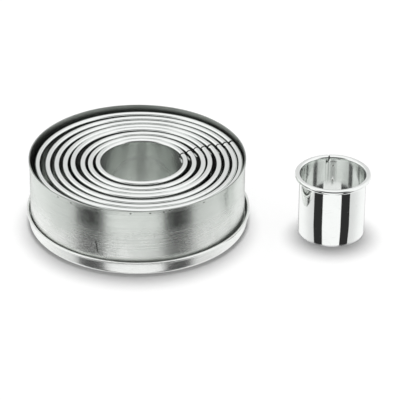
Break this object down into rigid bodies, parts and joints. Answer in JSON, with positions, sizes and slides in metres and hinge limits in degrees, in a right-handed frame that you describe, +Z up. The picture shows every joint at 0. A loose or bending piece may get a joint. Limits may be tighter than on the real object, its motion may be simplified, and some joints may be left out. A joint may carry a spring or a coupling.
{
  "type": "round biscuit cutter set in a tin",
  "caption": "Round plain biscuit and pastry cutters with wired rims, nested in a tinplate tin that stands in its slip lid, with the smallest cutter beside it.",
  "frame": {"origin": "middle of the lid's underside, on the surface that the set stands on", "axes": "+Z up, +X from the tin towards the smallest cutter, +Y to the back of the picture's view"},
  "size_m": [0.2076, 0.1356, 0.0431],
  "materials": {
    "lid_tinplate": "bright tinplate, faint rolling lines",
    "tin_tinplate": "satin tinplate with horizontal rolling lines, light wear",
    "cutter_steel": "mirror polished stainless sheet",
    "bead_wire": "drawn steel wire"
  },
  "bodies": {
    "lid": {"lid": "lid_tinplate"},
    "tin": {"tin_wall": "tin_tinplate", "tin_base": "tin_tinplate"},
    "cutter_9": {"cutter_9_band": "cutter_steel", "cutter_9_bead_wire": "bead_wire"},
    "cutter_8": {"cutter_8_band": "cutter_steel", "cutter_8_bead_wire": "bead_wire"},
    "cutter_7": {"cutter_7_band": "cutter_steel", "cutter_7_bead_wire": "bead_wire"},
    "cutter_6": {"cutter_6_band": "cutter_steel", "cutter_6_bead_wire": "bead_wire"},
    "cutter_5": {"cutter_5_band": "cutter_steel", "cutter_5_bead_wire": "bead_wire"},
    "cutter_4": {"cutter_4_band": "cutter_steel", "cutter_4_bead_wire": "bead_wire"},
    "cutter_3": {"cutter_3_band": "cutter_steel", "cutter_3_bead_wire": "bead_wire"},
    "cutter_2": {"cutter_2_band": "cutter_steel", "cutter_2_bead_wire": "bead_wire"},
    "cutter_1": {"cutter_1_band": "cutter_steel", "cutter_1_bead_wire": "bead_wire"}
  },
  "joints": [
    {"name": "tin_lift", "type": "slide", "parent": "lid", "child": "tin", "axis": [0, 0, 1], "range_m": [0, 0.012]},
    {"name": "cutter_9_lift", "type": "slide", "parent": "tin", "child": "cutter_9", "axis": [0, 0, 1], "range_m": [0, 0.048]},
    {"name": "cutter_8_lift", "type": "slide", "parent": "tin", "child": "cutter_8", "axis": [0, 0, 1], "range_m": [0, 0.048]},
    {"name": "cutter_7_lift", "type": "slide", "parent": "tin", "child": "cutter_7", "axis": [0, 0, 1], "range_m": [0, 0.048]},
    {"name": "cutter_6_lift", "type": "slide", "parent": "tin", "child": "cutter_6", "axis": [0, 0, 1], "range_m": [0, 0.048]},
    {"name": "cutter_5_lift", "type": "slide", "parent": "tin", "child": "cutter_5", "axis": [0, 0, 1], "range_m": [0, 0.048]},
    {"name": "cutter_4_lift", "type": "slide", "parent": "tin", "child": "cutter_4", "axis": [0, 0, 1], "range_m": [0, 0.048]},
    {"name": "cutter_3_lift", "type": "slide", "parent": "tin", "child": "cutter_3", "axis": [0, 0, 1], "range_m": [0, 0.048]},
    {"name": "cutter_2_lift", "type": "slide", "parent": "tin", "child": "cutter_2", "axis": [0, 0, 1], "range_m": [0, 0.048]},
    {"name": "cutter_1_lift", "type": "slide", "parent": "lid", "child": "cutter_1", "axis": [0, 0, 1], "range_m": [0, 0.048]}
  ]
}
